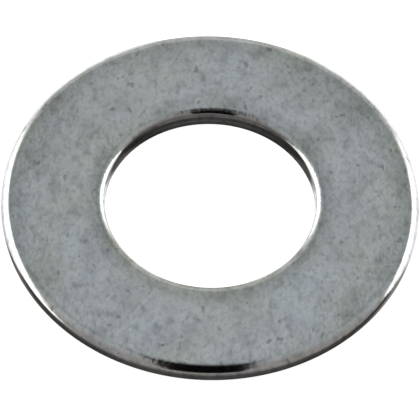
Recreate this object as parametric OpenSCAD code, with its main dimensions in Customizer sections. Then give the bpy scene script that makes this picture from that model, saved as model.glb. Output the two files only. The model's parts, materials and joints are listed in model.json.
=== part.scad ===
// Thin flat washer: one ring, stamped from steel strip, tumbled and zinc plated.
//
// The origin is on the bore's axis at the bottom face. +Z points out of the
// top face, where the blanking die drew both edges down into a rounded roll.
// Tumbling has rounded the outer edge at the bottom too. The bore keeps its
// straight land, with a torn zone below it that slopes back.

/* [Ring] */
// Diameter of the bore, a clearance hole for an M6 bolt
bore_d = 6.4; // [6.1:0.1:7]
// Outside diameter
outer_d = 12.7; // [11:0.1:18]
// Thickness of the ring
thickness = 0.6; // [0.54:0.01:1.6]

/* [Rounded edges] */
// Radius of the outer edge at the top
outer_top_r = 0.27; // [0.05:0.01:0.3]
// Radius of the outer edge at the bottom
outer_bottom_r = 0.21; // [0.05:0.01:0.23]
// Radius of the bore's edge at the top
bore_top_r = 0.2; // [0.05:0.01:0.3]
// Chamfer of the bore's edge at the bottom
bore_chamfer = 0.05; // [0.01:0.01:0.08]

/* [Torn zone] */
// Height of the bore's torn zone above the bottom face
torn_h = 0.18; // [0.1:0.01:0.2]
// How far the torn zone slopes back from the land at its foot
torn_draw = 0.012; // [0:0.001:0.05]

/* [Hidden] */
bore_r = bore_d / 2;
outer_r = outer_d / 2;
zinc_grey = "#9ba2a5";
// How far a cut reaches past the solid that it cuts
over = 1;

// What a rounded edge takes off a corner that points to +X and +Y, with the
// corner at the origin.
module corner_cut(r) {
    difference() {
        translate([-r, -r]) square(r + over);
        translate([-r, -r]) circle(r = r, $fn = 120);
    }
}

// The ring cut through on one side of its axis: X is the radius, Y the height.
module ring_section() {
    difference() {
        polygon([
            [bore_r + torn_draw + bore_chamfer, 0],
            [outer_r, 0],
            [outer_r, thickness],
            [bore_r, thickness],
            [bore_r, torn_h],
            [bore_r + torn_draw, bore_chamfer]
        ]);
        translate([outer_r, thickness]) corner_cut(outer_top_r);
        translate([outer_r, 0]) mirror([0, 1]) corner_cut(outer_bottom_r);
        translate([bore_r, thickness]) mirror([1, 0]) corner_cut(bore_top_r);
    }
}

// The whole washer, revolved round the bore's axis.
module washer() {
    color(zinc_grey) rotate_extrude($fn = 240) ring_section();
}

washer();
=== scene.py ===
"""A thin flat washer: one stamped ring of zinc-plated steel, lying on a plain white table.

The ring is turned in mesh code round the CAD bore's axis. Its section goes up the bore, over the
bore's rolled edge, across the top face, over the outer rolled edge, down the outer edge and back
under the ring. On its far side the bore also opens out towards the top.

The light is a white tent with a grey back, open in front where the dark camera stands. The rolled
edges mirror the dark opening as two black streaks and the white walls as crescents.

Lengths are in metres, in the CAD frame, unless a name or a comment says mm.
"""

import json
import math

import bpy
import numpy as np
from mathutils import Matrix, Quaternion, Vector


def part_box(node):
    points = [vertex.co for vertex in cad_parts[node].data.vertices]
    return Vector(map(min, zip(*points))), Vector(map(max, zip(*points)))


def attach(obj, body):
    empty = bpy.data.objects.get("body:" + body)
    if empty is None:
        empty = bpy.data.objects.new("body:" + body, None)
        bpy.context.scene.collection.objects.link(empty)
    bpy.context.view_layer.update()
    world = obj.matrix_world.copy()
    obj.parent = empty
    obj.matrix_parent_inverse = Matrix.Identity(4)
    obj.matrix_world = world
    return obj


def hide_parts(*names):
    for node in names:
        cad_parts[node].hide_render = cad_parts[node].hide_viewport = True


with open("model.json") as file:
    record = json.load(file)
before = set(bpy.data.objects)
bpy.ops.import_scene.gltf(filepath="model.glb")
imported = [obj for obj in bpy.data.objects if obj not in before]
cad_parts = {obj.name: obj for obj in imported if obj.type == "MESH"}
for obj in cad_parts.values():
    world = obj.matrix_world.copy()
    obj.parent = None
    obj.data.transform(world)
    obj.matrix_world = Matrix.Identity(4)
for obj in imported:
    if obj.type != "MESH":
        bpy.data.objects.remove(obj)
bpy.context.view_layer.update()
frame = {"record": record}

MM = 0.001
NODE = "washer"
SEED = 7

# ---- sizes that the CAD model sets ----
ring_low, ring_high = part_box(NODE)
OUTER_R = ring_high.x
THICKNESS = ring_high.z - ring_low.z
BORE_R = next(m["dims"]["r_mm"] for m in frame["record"]["mounts"] if m["name"] == "bore") * MM

# ---- the stamped and tumbled edges ----
# each top edge is rolled over on a quarter ellipse, and the top face falls away gently towards it
OUTER_ROLL_W, OUTER_ROLL_H = 0.34 * MM, 0.25 * MM
BORE_ROLL_W, BORE_ROLL_H = 0.28 * MM, 0.15 * MM
OUTER_FALL_W, OUTER_FALL_H = 1.3 * MM, 0.045 * MM
BORE_FALL_W, BORE_FALL_H = 1.0 * MM, 0.045 * MM
# how wavy each rolled edge's width is round the ring, slow waves before fine ones:
# (share of the width, fewest waves, most waves, how fast the quicker ones weaken)
OUTER_WAVES = [(0.03, 2, 12, 1.0), (0.003, 40, 120, 0.5)]
BORE_WAVES = [(0.04, 2, 12, 1.0), (0.004, 30, 120, 0.5)]
# the bore's rolled edge is wider on the right by up to this share, and a higher power keeps that
# nearer to the right
BORE_ROLL_RIGHT, BORE_ROLL_POWER = 0.22, 4
# on its far side the bore opens out from this height upwards, by this much for each step up,
# and its rolled edge is narrower by this much
FLARE_FOOT, FLARE_SLOPE, FLARE_NARROWS = 0.25 * MM, 0.25, 0.105 * MM
OUTER_BOTTOM_R, BORE_BOTTOM_R = 0.21 * MM, 0.03 * MM
# the torn zone at the foot of the bore, and how far it slopes back
TORN_H, TORN_DRAW = 0.18 * MM, 0.012 * MM

# ---- how finely each stretch of the section is cut ----
TURNS = 720
TORN_CUTS, LAND_CUTS, ROLL_CUTS, FLAT_CUTS, BOTTOM_CUTS, CORNER_CUTS = 6, 4, 18, 44, 12, 3
# 0 spaces the flat's rows evenly, towards 1 they crowd at both edges
FLAT_CROWDING = 0.6

# ---- the photographer's camera ----
CAMERA_ELEVATION = math.radians(54.4)
CAMERA_ROLL = math.radians(1.8)
CAMERA_DISTANCE = 25.4 * OUTER_R
CAMERA_CLIP = 0.1 * OUTER_R, 400 * OUTER_R
CAMERA_LENS_MM, CAMERA_SENSOR_MM = 454.2, 36.0
# how far the ring's centre lies right of and above the picture's middle, as shares of the outer radius
OFF_RIGHT, OFF_UP = -0.0003, 0.0031

# ---- the table ----
TABLE_HALF = 1.0
TABLE_WHITE, TABLE_GLOW = 0.85, 0.9

# ---- the tent ----
# its colours by climb: degrees up from the far horizon at 0, over the top at 90, down to the near
# horizon at 180 and on under the table
TENT = [
    (-84, (0.062, 0.059, 0.056)),
    (-72, (0.19, 0.185, 0.18)),
    (-60, (0.16, 0.155, 0.15)),
    (-54, (0.46, 0.47, 0.45)),
    (34, (0.46, 0.47, 0.45)),
    (42, (0.26, 0.28, 0.26)),
    (47, (0.24, 0.265, 0.25)),
    # the flat faces mirror this stretch
    (52, (0.425, 0.447, 0.462)),
    (66, (0.41, 0.435, 0.45)),
    (90, (0.33, 0.34, 0.34)),
    (126, (0.26, 0.25, 0.24)),
    (165, (0.27, 0.255, 0.245)),
    (190, (0.22, 0.205, 0.195)),
    (210, (0.095, 0.090, 0.087)),
    (235, (0.082, 0.079, 0.077)),
    (262, (0.052, 0.049, 0.047)),
]
CLIMB_LOW, CLIMB_HIGH = -90, 270
# Below, a pair is a fade, with nothing at its first number and everything at its second. SIDE is how
# many degrees a direction lies left or right of the middle, X and Z are those of the direction
# itself, and the others are climbs.
# a duller green-grey patch each side of what the flat faces mirror
PATCH_SIDE, PATCH_FOOT, PATCH_TOP = (1, 6.5), (43, 51), (85, 62)
PATCH_COLOUR, PATCH_STRENGTH = (0.0, 0.02, 0.0, 1), 0.42
# low down the tent is lighter on the right
LOW_FOOT, LOW_TOP, LOW_X, LOW_GAIN = (-92, -84), (-55, -60), (0.0, 0.3), 0.8
# the tent's pale floor on both sides of the table, which reaches nearer on the right
FLOOR_SIDE, FLOOR_NEAR, FLOOR_FAR = (4, 16), (-62, -55), (10, 0)
FLOOR_X, FLOOR_NEARER, FLOOR_COLOUR = (-0.1, 0.1), 2, (1.05, 1.05, 1.05, 1)
# the white walls on both sides, by how many degrees out they start: this many where the two fades
# of climb meet, up to (left, right) at the end of the high one, and more by WALLS_OUT_LOW at the
# end of the low one
WALLS_OUT, WALLS_OUT_HIGH, WALLS_OUT_LOW = 27, (66, 100), 5
WALLS_X, WALLS_HIGH, WALLS_LOW = (-0.2, 0.2), (45, 115), (45, 10)
WALLS_SIDE, WALLS_Z, WALLS_COLOUR = (-6, 8), (-0.08, 0.22), (1.7, 1.7, 1.7, 1)
# the dark camera and photographer, softer at the top and wider lower down. They reach this many
# degrees (left, right) of the middle at the start of DARK_CLIMB, and at its end.
DARK_TOP, DARK_FOOT = (68, 96), (160, 152)
DARK_CLIMB, DARK_REACH_HIGH, DARK_REACH_LOW = (66, 130), (7, 4.2), (16.5, 15.8)
DARK_X, DARK_SIDE, DARK_COLOUR = (-0.02, 0.02), (1.2, -1.2), (0.002, 0.002, 0.002, 1)

# ---- the plating's clouds and grain ----
# how far the strip's rolling has drawn them out: below 1 they are longer along Y
GRAIN_DRAWN = 0.7
# from coarse to fine: how many to a mm, and how much the darkest parts lose
GRAINS = [(0.9, 0.17), (1.8, 0.13), (3.6, 0.18), (7.0, 0.20), (13.0, 0.12)]
GRAIN_DETAIL, GRAIN_FADE = 0.6, (0.20, 0.55)
# the grain of the roughness and the bumps, and the pits: how many to a mm
FINE = 9.0
PITS, PITS_FADE, PITS_KEEPS = 4.6, (0.66, 0.78), 0.66
# how far apart in the same noise the layers are taken, so that they don't look alike
GRAIN_SHIFT, TINT_SHIFT = 10.0, 40.0

# ---- the plating's shade and tint, with painted shade ----
# In this part and the next a pair is a fade in mm, with nothing at its first number and everything
# at its second. It is measured out from the bore's radius where a name says OUT, in from the outer
# radius where it says IN, down from the top face where it says DOWN, and otherwise along X, Y or Z.
# A name that says KEEPS is the share of the brightness that the place keeps, and one that says
# KEEPS_AT is that share at the second number of the fade along X or Y.
PLATE_SHADE = 1.067
# the bore's wall: duller torn plating and painted shade, darkest low in the bore
WALL_OUT, WALL_Z, WALL_DULL_AND_SHADE_KEEPS = (0.10, 0.02), (0.30, 0.06), 0.58
# painted shade on the bore's rolled edge on the far side
ROLL_OUT, ROLL_Z, ROLL_Y, ROLL_SHADE_KEEPS = (0.13, 0.05), (0.16, 0.34), (1.6, 2.6), 0.46
# painted shade at both ends of what is seen of the wall, the right one less than the left one
END_X_LEFT, END_X_RIGHT, END_SHARE_RIGHT = (-1.6, -3.1), (2.0, 3.0), 0.75
END_Y, END_OUT, END_SHADE_KEEPS = (0.25, 0.7), (0.06, 0.01), 0.07
# painted shade on the outer edge, more at its left end
EDGE_IN, EDGE_X, EDGE_SHADE_KEEPS, EDGE_SHADE_KEEPS_AT_X = (0.06, 0.01), (-5.6, -6.1), 0.76, 0.5
# the face near the bore: greener plating, and painted shade that deepens from the left to the right
NEAR_BORE_OUT, NEAR_BORE_SHADE_X, NEAR_BORE_SHADE_KEEPS, NEAR_BORE_SHADE_KEEPS_AT_X = (1.0, 0.25), (-2.0, 3.5), 0.90, 0.855
NEAR_BORE_GREENER = 0.14
# painted shade on the face near the outer edge, from the near side to the far side
RIM_SHADE_IN, RIM_SHADE_Y, RIM_SHADE_KEEPS, RIM_SHADE_KEEPS_AT_Y = (0.9, 0.35), (-3.5, 1.0), 0.97, 0.915
RIM_TINT_IN, RIM_GREENER = (1.0, 0.4), 0.04
# how many patches of tint to a mm, and the tints from greenish to bluish
TINT_SCALE, TINT_DETAIL, TINT_ROUGHNESS = 0.5, 2.5, 0.65
TINTS = [(0.34, (0.917, 0.935, 0.890)), (0.5, (0.927, 0.937, 0.957)), (0.66, (0.909, 0.935, 0.982))]

# ---- the plating's roughness and bumps ----
ROUGHNESS, ROUGHNESS_FADE = (0.24, 0.19), (0.3, 0.7)
# the rolled edges, which tumbling has burnished: round the bore only close to it, and from here
# outwards again
SHINE_DOWN, SHINE_OUT_NEAR, SHINE_OUT_FAR = (0.022, 0.05), (0.17, 0.10), (0.5, 0.7)
SHINE_SCALE, SHINE_FADE, SHINE_LEAST, SHINE_ROUGHNESS_KEEPS = 0.35, (0.38, 0.55), 0.75, 0.45
# the rougher plating round the outer edge at the near left
RAGGED_SCALE, RAGGED_X, RAGGED_Y = 0.8, (0.4, -0.4), (-2.0, -3.5)
# and round the bore's far side, except on the right
RAGGED_BORE_OUT, RAGGED_BORE_X, RAGGED_BORE_Y = (0.6, 0.4), (1.8, 0.8), (0.8, 1.6)
RAGGED_DOWN, LUMPS_SCALE, LUMPS_DETAIL, LUMPS_HEIGHT = (0.012, 0.03), 4.5, 1.5, 2.2
BUMP_HEIGHT, BUMP_STRENGTH, BUMP_STRENGTH_SHINY = 0.006 * MM, 0.9, 0.10

# ---- scratches on the faces, lengths in mm ----
SCRATCHES = 16
# the way most of them run, in radians from +X, and how far they spread from it
SCRATCH_LEAN, SCRATCH_SPREAD = 0.8, 0.35
# each has its middle up to this far from the bore's axis along X and along Y
SCRATCH_REACH = 6.0
SCRATCH_HALF_LENGTHS, SCRATCH_WIDTH_FADE = (0.4, 1.6), (0.035, 0.01)
# where a scratch starts to fade, as a share of its half length, and how much lighter it makes the zinc
SCRATCH_FULL, SCRATCH_GAINS = 0.3, (0.04, 0.16)


# ------------------------------------------------------------------ mesh
def ring_noise(rng, angles, slowest, fastest, falloff):
    """A wavy value round the ring that meets itself, with a spread of about 1."""
    value = np.zeros_like(angles)
    weight = 0.0
    for waves in range(slowest, fastest + 1):
        strength = waves ** -falloff
        value += strength * math.sqrt(2) * np.cos(waves * angles + rng.uniform(0, 2 * math.pi))
        weight += strength * strength
    return value / math.sqrt(weight)


def wavy(rng, angles, width, layers):
    """A rolled edge's width at each angle, with its layers of waves."""
    return width * (1 + sum(share * ring_noise(rng, angles, *waves) for share, *waves in layers))


def steps(count, first=False):
    """Shares from 0 to 1 in count steps, with the 0 left out unless first is true."""
    return np.linspace(0, 1, count + 1)[0 if first else 1:]


def arc(share, width, height):
    """How far in and how far down a rounded edge is, from the face at share 0 to the land at share 1."""
    turn = share * math.pi / 2
    return width * (1 - math.sin(turn)), height * (1 - math.cos(turn))


def top_height(radius):
    """The height of the top face at a radius, before the edges are rolled over."""
    past_bore = np.clip(1 - (radius - BORE_R) / BORE_FALL_W, 0, None)
    past_outer = np.clip(1 - (OUTER_R - radius) / OUTER_FALL_W, 0, None)
    return THICKNESS - BORE_FALL_H * past_bore ** 2 - OUTER_FALL_H * past_outer ** 2


def flare(height):
    """How far the bore's wall stands back from the bore's radius at a height."""
    return FLARE_SLOPE * max(height - FLARE_FOOT, 0.0)


def ring_section(outer_w, bore_w, flared):
    """The section's rows, each as (radius, height), from the bottom of the bore over the top and back.

    The two given widths are those of the rolled edges, and flared is the share of the bore's flare.
    All three may be arrays round the ring.
    """
    rows = []
    bore_foot = BORE_R + TORN_DRAW
    for s in steps(CORNER_CUTS, first=True):
        inward, up = arc(s, BORE_BOTTOM_R, BORE_BOTTOM_R)
        rows.append((bore_foot + inward, up))
    for s in steps(TORN_CUTS):
        rows.append((BORE_R + TORN_DRAW * (1 - s), BORE_BOTTOM_R + (TORN_H - BORE_BOTTOM_R) * s))
    land_top = top_height(BORE_R) - BORE_ROLL_H
    for s in steps(LAND_CUTS):
        height = TORN_H + (land_top - TORN_H) * s
        rows.append((BORE_R + flared * flare(height), height))
    for s in steps(ROLL_CUTS):
        inward, down = arc(1 - s, bore_w, BORE_ROLL_H)
        inward = inward + flared * flare(THICKNESS - down)
        rows.append((BORE_R + inward, top_height(BORE_R + inward) - down))
    start, end = BORE_R + bore_w + flared * flare(THICKNESS), OUTER_R - outer_w
    for s in steps(FLAT_CUTS):
        crowded = s - FLAT_CROWDING * math.sin(2 * math.pi * s) / (2 * math.pi)
        radius = start + (end - start) * crowded
        rows.append((radius, top_height(radius)))
    for s in steps(ROLL_CUTS):
        inward, down = arc(s, outer_w, OUTER_ROLL_H)
        rows.append((OUTER_R - inward, top_height(OUTER_R - inward) - down))
    land_top = top_height(OUTER_R) - OUTER_ROLL_H
    for s in steps(LAND_CUTS):
        rows.append((OUTER_R, land_top + (OUTER_BOTTOM_R - land_top) * s))
    for s in steps(ROLL_CUTS):
        inward, up = arc(1 - s, OUTER_BOTTOM_R, OUTER_BOTTOM_R)
        rows.append((OUTER_R - inward, up))
    start, end = OUTER_R - OUTER_BOTTOM_R, bore_foot + BORE_BOTTOM_R
    for s in steps(BOTTOM_CUTS)[:-1]:
        rows.append((start + (end - start) * s, 0.0))
    return rows


def link_mesh(name, points, faces):
    """A new object with a mesh of these points and faces."""
    mesh = bpy.data.meshes.new(name)
    mesh.from_pydata(points, [], faces)
    thing = bpy.data.objects.new(name, mesh)
    bpy.context.scene.collection.objects.link(thing)
    return thing


def build_ring():
    rng = np.random.default_rng(SEED)
    angles = np.linspace(0, 2 * math.pi, TURNS, endpoint=False)
    outer_w = wavy(rng, angles, OUTER_ROLL_W, OUTER_WAVES)
    bore_w = wavy(rng, angles, BORE_ROLL_W, BORE_WAVES)
    bore_w *= 1 + BORE_ROLL_RIGHT * np.clip(np.cos(angles), 0, None) ** BORE_ROLL_POWER
    flared = np.clip(np.sin(angles), 0, None)
    rows = ring_section(outer_w, bore_w - FLARE_NARROWS * flared, flared)
    radius = np.array([np.broadcast_to(r, angles.shape) for r, _ in rows])
    height = np.array([np.broadcast_to(z, angles.shape) for _, z in rows])
    x, y = radius * np.cos(angles), radius * np.sin(angles)
    points = np.stack([x, y, height], axis=-1).reshape(-1, 3)

    faces = []
    for i in range(len(rows)):
        here = i * TURNS
        below = (i + 1) % len(rows) * TURNS
        for j in range(TURNS):
            k = (j + 1) % TURNS
            faces.append((here + j, below + j, below + k, here + k))
    ring = link_mesh("washer_ring", points.tolist(), faces)
    ring.data.shade_smooth()
    ring.data.update()
    return ring


# ------------------------------------------------------------------ shader helpers
class Nodes:
    """Short ways to add and link shader nodes in one tree."""

    def __init__(self, tree):
        self.tree = tree
        tree.nodes.clear()

    def add(self, kind, **settings):
        node = self.tree.nodes.new(kind)
        for name, value in settings.items():
            setattr(node, name, value)
        return node

    def put(self, socket, value):
        if isinstance(value, bpy.types.NodeSocket):
            self.tree.links.new(value, socket)
        else:
            socket.default_value = value

    def math(self, operation, a, b=0.0):
        node = self.add("ShaderNodeMath", operation=operation)
        self.put(node.inputs[0], a)
        self.put(node.inputs[1], b)
        return node.outputs[0]

    def times(self, first, *others):
        for other in others:
            first = self.math("MULTIPLY", first, other)
        return first

    def vector_math(self, operation, vector, factors):
        node = self.add("ShaderNodeVectorMath", operation=operation)
        self.put(node.inputs[0], vector)
        node.inputs[1].default_value = factors
        return node.outputs[0]

    def shifted(self, vector, distance):
        return self.vector_math("ADD", vector, (distance, distance, distance))

    def scaled(self, vector, factor):
        node = self.add("ShaderNodeVectorMath", operation="SCALE")
        self.put(node.inputs[0], vector)
        self.put(node.inputs["Scale"], factor)
        return node.outputs[0]

    def split(self, vector):
        node = self.add("ShaderNodeSeparateXYZ")
        self.put(node.inputs[0], vector)
        return node.outputs

    def ramp(self, value, low, high, start=0.0, end=1.0, smooth=True):
        """From start, where the value is low, to end, where it is high."""
        kind = "SMOOTHSTEP" if smooth else "LINEAR"
        node = self.add("ShaderNodeMapRange", interpolation_type=kind)
        names = "Value", "From Min", "From Max", "To Min", "To Max"
        for name, given in zip(names, (value, low, high, start, end)):
            self.put(node.inputs[name], given)
        return node.outputs[0]

    def dimmed(self, value, mask, keeps, smooth=True):
        """The value where the mask is 0, and only the share of it that it keeps where the mask is 1."""
        return self.times(value, self.ramp(mask, 0, 1, 1.0, keeps, smooth))

    def mix(self, factor, a, b):
        node = self.add("ShaderNodeMix", data_type="RGBA")
        self.put(node.inputs[0], factor)
        self.put(node.inputs[6], a)
        self.put(node.inputs[7], b)
        return node.outputs[2]

    def noise(self, vector, scale, detail=1.0, roughness=0.5):
        node = self.add("ShaderNodeTexNoise")
        self.put(node.inputs["Vector"], vector)
        self.put(node.inputs["Scale"], scale)
        self.put(node.inputs["Detail"], detail)
        self.put(node.inputs["Roughness"], roughness)
        return node.outputs["Fac"]

    def colours(self, value, stops):
        node = self.add("ShaderNodeValToRGB")
        ramp = node.color_ramp
        while len(ramp.elements) < len(stops):
            ramp.elements.new(0.5)
        for element, (place, colour) in zip(ramp.elements, stops):
            element.position = place
            element.color = (*colour, 1.0)
        self.put(node.inputs[0], value)
        return node.outputs[0]


def new_material(name):
    """A new material, the one shader in it, and the helpers for its tree."""
    material = bpy.data.materials.new(name)
    material.use_nodes = True
    n = Nodes(material.node_tree)
    shader = n.add("ShaderNodeBsdfPrincipled")
    output = n.add("ShaderNodeOutputMaterial")
    n.put(output.inputs["Surface"], shader.outputs[0])
    return material, shader, n


# ------------------------------------------------------------------ materials
def scratches(n, mm):
    """Fine, faint, straight scratches on the faces: how much lighter each makes the zinc."""
    rng = np.random.default_rng(SEED + 1)
    total = 0.0
    for _ in range(SCRATCHES):
        turn = rng.normal(SCRATCH_LEAN, SCRATCH_SPREAD)
        middle = rng.uniform(-SCRATCH_REACH, SCRATCH_REACH, 2)
        half_length = rng.uniform(*SCRATCH_HALF_LENGTHS)
        spin = n.add("ShaderNodeVectorRotate", rotation_type="Z_AXIS")
        n.put(spin.inputs["Vector"], mm)
        spin.inputs["Center"].default_value = (*middle, 0.0)
        spin.inputs["Angle"].default_value = -turn
        x, y, _ = n.split(spin.outputs[0])
        along = n.math("ABSOLUTE", n.math("SUBTRACT", x, middle[0]))
        across = n.math("ABSOLUTE", n.math("SUBTRACT", y, middle[1]))
        mark = n.times(
            n.ramp(along, half_length, SCRATCH_FULL * half_length),
            n.ramp(across, *SCRATCH_WIDTH_FADE),
        )
        total = n.math("ADD", n.times(mark, rng.uniform(*SCRATCH_GAINS)), total)
    return total


def zinc_material():
    material, shader, n = new_material("zinc_plate")
    mm = n.scaled(n.add("ShaderNodeTexCoord").outputs["Object"], 1 / MM)
    x, y, z = n.split(mm)
    radius = n.math("SQRT", n.math("ADD", n.times(x, x), n.times(y, y)))
    out = n.math("SUBTRACT", radius, BORE_R / MM)
    inward = n.math("SUBTRACT", OUTER_R / MM, radius)
    down = n.math("SUBTRACT", THICKNESS / MM, z)

    # clouds and grain of five sizes, each with more dark spots than light ones
    drawn = n.vector_math("MULTIPLY", mm, (1.0, GRAIN_DRAWN, 1.0))
    shade = PLATE_SHADE
    for scale, depth in GRAINS:
        grain = n.noise(n.shifted(drawn, GRAIN_SHIFT * scale), scale, GRAIN_DETAIL)
        shade = n.times(shade, n.ramp(grain, *GRAIN_FADE, 1 - depth, 1.0))
    fine = n.noise(drawn, FINE)
    pits = n.ramp(n.noise(drawn, PITS), *PITS_FADE)
    shade = n.dimmed(shade, pits, PITS_KEEPS)
    shade = n.math("ADD", shade, scratches(n, mm))

    # the bore's wall is darker with duller torn plating and painted shade, and its rolled edge on the
    # far side is darker with painted shade
    wall_dull_and_shade = n.times(n.ramp(out, *WALL_OUT), n.ramp(z, *WALL_Z))
    shade = n.dimmed(shade, wall_dull_and_shade, WALL_DULL_AND_SHADE_KEEPS)
    far_roll_shade = n.times(n.ramp(out, *ROLL_OUT), n.ramp(z, *ROLL_Z), n.ramp(y, *ROLL_Y))
    shade = n.dimmed(shade, far_roll_shade, ROLL_SHADE_KEEPS)
    # and painted shade, darkest towards both ends of what is seen of the wall
    right_end_shade = n.ramp(x, *END_X_RIGHT, 0.0, END_SHARE_RIGHT)
    end_shade = n.math("MAXIMUM", n.ramp(x, *END_X_LEFT), right_end_shade)
    end_shade = n.times(end_shade, n.ramp(y, *END_Y), n.ramp(out, *END_OUT))
    shade = n.dimmed(shade, end_shade, END_SHADE_KEEPS, smooth=False)
    # painted shade makes the outer edge a little darker than the faces, and more so at its far left
    edge_shade_keeps = n.ramp(x, *EDGE_X, EDGE_SHADE_KEEPS, EDGE_SHADE_KEEPS_AT_X)
    shade = n.times(shade, n.ramp(inward, *EDGE_IN, 1.0, edge_shade_keeps))
    # near the bore and near the outer edge the face is greener plating, and darker with painted shade
    greener_and_shaded = n.ramp(out, *NEAR_BORE_OUT)
    shade = n.dimmed(shade, greener_and_shaded, n.ramp(x, *NEAR_BORE_SHADE_X, NEAR_BORE_SHADE_KEEPS, NEAR_BORE_SHADE_KEEPS_AT_X))
    rim_shade_keeps = n.ramp(y, *RIM_SHADE_Y, RIM_SHADE_KEEPS, RIM_SHADE_KEEPS_AT_Y)
    shade = n.times(shade, n.ramp(inward, *RIM_SHADE_IN, 1.0, rim_shade_keeps))
    tint = n.noise(n.shifted(mm, TINT_SHIFT), TINT_SCALE, TINT_DETAIL, TINT_ROUGHNESS)
    tint = n.math("SUBTRACT", tint, n.times(greener_and_shaded, NEAR_BORE_GREENER))
    tint = n.math("SUBTRACT", tint, n.ramp(inward, *RIM_TINT_IN, 0.0, RIM_GREENER))

    # tumbling has burnished the rolled edges, more in some places than in others
    close = n.math("MAXIMUM", n.ramp(out, *SHINE_OUT_NEAR), n.ramp(out, *SHINE_OUT_FAR))
    patchy = n.ramp(n.noise(mm, SHINE_SCALE), *SHINE_FADE, SHINE_LEAST, 1.0)
    burnished = n.times(n.ramp(down, *SHINE_DOWN), close, patchy)
    rough = n.ramp(fine, *ROUGHNESS_FADE, *ROUGHNESS)

    # the plating is rougher round the outer edge at the near left, and round the bore's far side
    uneven_x = n.math("ADD", x, n.noise(mm, RAGGED_SCALE))
    ragged_outer = n.times(n.ramp(uneven_x, *RAGGED_X), n.ramp(y, *RAGGED_Y))
    ragged_bore = n.times(
        n.ramp(out, *RAGGED_BORE_OUT), n.ramp(x, *RAGGED_BORE_X), n.ramp(y, *RAGGED_BORE_Y)
    )
    ragged = n.times(n.math("MAXIMUM", ragged_outer, ragged_bore), n.ramp(down, *RAGGED_DOWN))
    lumps = n.times(n.noise(mm, LUMPS_SCALE, LUMPS_DETAIL), n.ramp(ragged, 0, 1, 0.0, LUMPS_HEIGHT))
    bump = n.add("ShaderNodeBump")
    bump.inputs["Distance"].default_value = BUMP_HEIGHT
    n.put(bump.inputs["Strength"], n.ramp(burnished, 0, 1, BUMP_STRENGTH, BUMP_STRENGTH_SHINY))
    n.put(bump.inputs["Height"], n.math("ADD", fine, lumps))

    shader.inputs["Metallic"].default_value = 1.0
    n.put(shader.inputs["Base Color"], n.scaled(n.colours(tint, TINTS), shade))
    n.put(shader.inputs["Roughness"], n.dimmed(rough, burnished, SHINE_ROUGHNESS_KEEPS))
    n.put(shader.inputs["Normal"], bump.outputs[0])
    return material


def table_material():
    material, shader, _ = new_material("white_table")
    shader.inputs["Base Color"].default_value = (TABLE_WHITE, TABLE_WHITE, TABLE_WHITE, 1)
    shader.inputs["Roughness"].default_value = 1.0
    shader.inputs["Specular IOR Level"].default_value = 0.0
    shader.inputs["Emission Color"].default_value = (1, 1, 1, 1)
    shader.inputs["Emission Strength"].default_value = TABLE_GLOW
    return material


# ------------------------------------------------------------------ studio
def make_table():
    corners = (-1, -1), (1, -1), (1, 1), (-1, 1)
    points = [(TABLE_HALF * x, TABLE_HALF * y, ring_low.z) for x, y in corners]
    table = link_mesh("table", points, [(0, 1, 2, 3)])
    table.data.materials.append(table_material())
    table.visible_glossy = False


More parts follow.
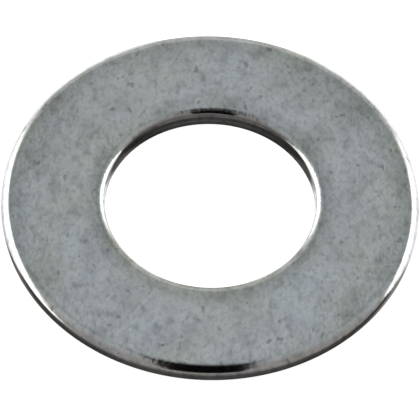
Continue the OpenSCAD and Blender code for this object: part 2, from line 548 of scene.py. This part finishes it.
def make_tent():
    """Soft light from a white tent with a grey back, open in front where the dark camera stands."""
    world = bpy.data.worlds.new("tent")
    bpy.context.scene.world = world
    world.use_nodes = True
    n = Nodes(world.node_tree)
    x, y, z = n.split(n.add("ShaderNodeTexCoord").outputs["Generated"])
    degrees = 180 / math.pi
    climb = n.times(n.math("ARCTAN2", z, y), degrees)
    # the arctangent jumps under the far horizon, and one full turn more carries on from 180
    climb = n.math("ADD", climb, n.times(n.math("LESS_THAN", climb, CLIMB_LOW), 360.0))
    side = n.times(n.math("ABSOLUTE", n.math("ARCSINE", x)), degrees)

    span = CLIMB_HIGH - CLIMB_LOW
    stops = [((angle - CLIMB_LOW) / span, colour) for angle, colour in TENT]
    colour = n.colours(n.ramp(climb, CLIMB_LOW, CLIMB_HIGH, smooth=False), stops)
    patch = n.times(n.ramp(side, *PATCH_SIDE), n.ramp(climb, *PATCH_FOOT), n.ramp(climb, *PATCH_TOP))
    colour = n.mix(n.times(patch, PATCH_STRENGTH), colour, PATCH_COLOUR)

    low = n.times(n.ramp(climb, *LOW_FOOT), n.ramp(climb, *LOW_TOP))
    gain = n.times(low, n.ramp(x, *LOW_X, 0.0, LOW_GAIN))
    colour = n.scaled(colour, n.math("ADD", gain, 1.0))
    nearer = n.math("ADD", climb, n.ramp(x, *FLOOR_X, 0, FLOOR_NEARER))
    floor = n.times(n.ramp(side, *FLOOR_SIDE), n.ramp(nearer, *FLOOR_NEAR), n.ramp(climb, *FLOOR_FAR))
    colour = n.mix(floor, colour, FLOOR_COLOUR)

    out_high = n.ramp(x, *WALLS_X, *WALLS_OUT_HIGH)
    out_high = n.ramp(climb, *WALLS_HIGH, WALLS_OUT, out_high, smooth=False)
    out_low = n.ramp(climb, *WALLS_LOW, 0, WALLS_OUT_LOW, smooth=False)
    past = n.math("SUBTRACT", side, n.math("ADD", out_high, out_low))
    walls = n.times(n.ramp(past, *WALLS_SIDE), n.ramp(z, *WALLS_Z))
    colour = n.mix(walls, colour, WALLS_COLOUR)

    reach_high = n.ramp(x, *DARK_X, *DARK_REACH_HIGH)
    reach_low = n.ramp(x, *DARK_X, *DARK_REACH_LOW)
    reach = n.ramp(climb, *DARK_CLIMB, reach_high, reach_low, smooth=False)
    within = n.ramp(n.math("SUBTRACT", side, reach), *DARK_SIDE)
    dark = n.times(n.ramp(climb, *DARK_TOP), n.ramp(climb, *DARK_FOOT), within)
    colour = n.mix(dark, colour, DARK_COLOUR)

    background = n.add("ShaderNodeBackground")
    n.put(background.inputs["Color"], colour)
    output = n.add("ShaderNodeOutputWorld")
    n.put(output.inputs["Surface"], background.outputs[0])


def make_camera():
    data = bpy.data.cameras.new("camera")
    camera = bpy.data.objects.new("camera", data)
    bpy.context.scene.collection.objects.link(camera)
    data.lens = CAMERA_LENS_MM
    data.sensor_width = CAMERA_SENSOR_MM
    data.clip_start, data.clip_end = CAMERA_CLIP
    look = Vector((0, math.cos(CAMERA_ELEVATION), -math.sin(CAMERA_ELEVATION)))
    turn = look.to_track_quat("-Z", "Y") @ Quaternion((0, 0, 1), CAMERA_ROLL)
    camera.rotation_mode = "QUATERNION"
    camera.rotation_quaternion = turn
    right, up = turn @ Vector((1, 0, 0)), turn @ Vector((0, 1, 0))
    centre = Vector((0, 0, ring_low.z))
    aim = centre - right * OFF_RIGHT * OUTER_R - up * OFF_UP * OUTER_R
    camera.location = aim - look * CAMERA_DISTANCE
    bpy.context.scene.camera = camera


make_camera()
make_tent()
make_table()
bpy.context.scene.view_settings.view_transform = "Standard"

ring = build_ring()
ring.data.materials.append(zinc_material())
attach(ring, "root")
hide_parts(NODE)
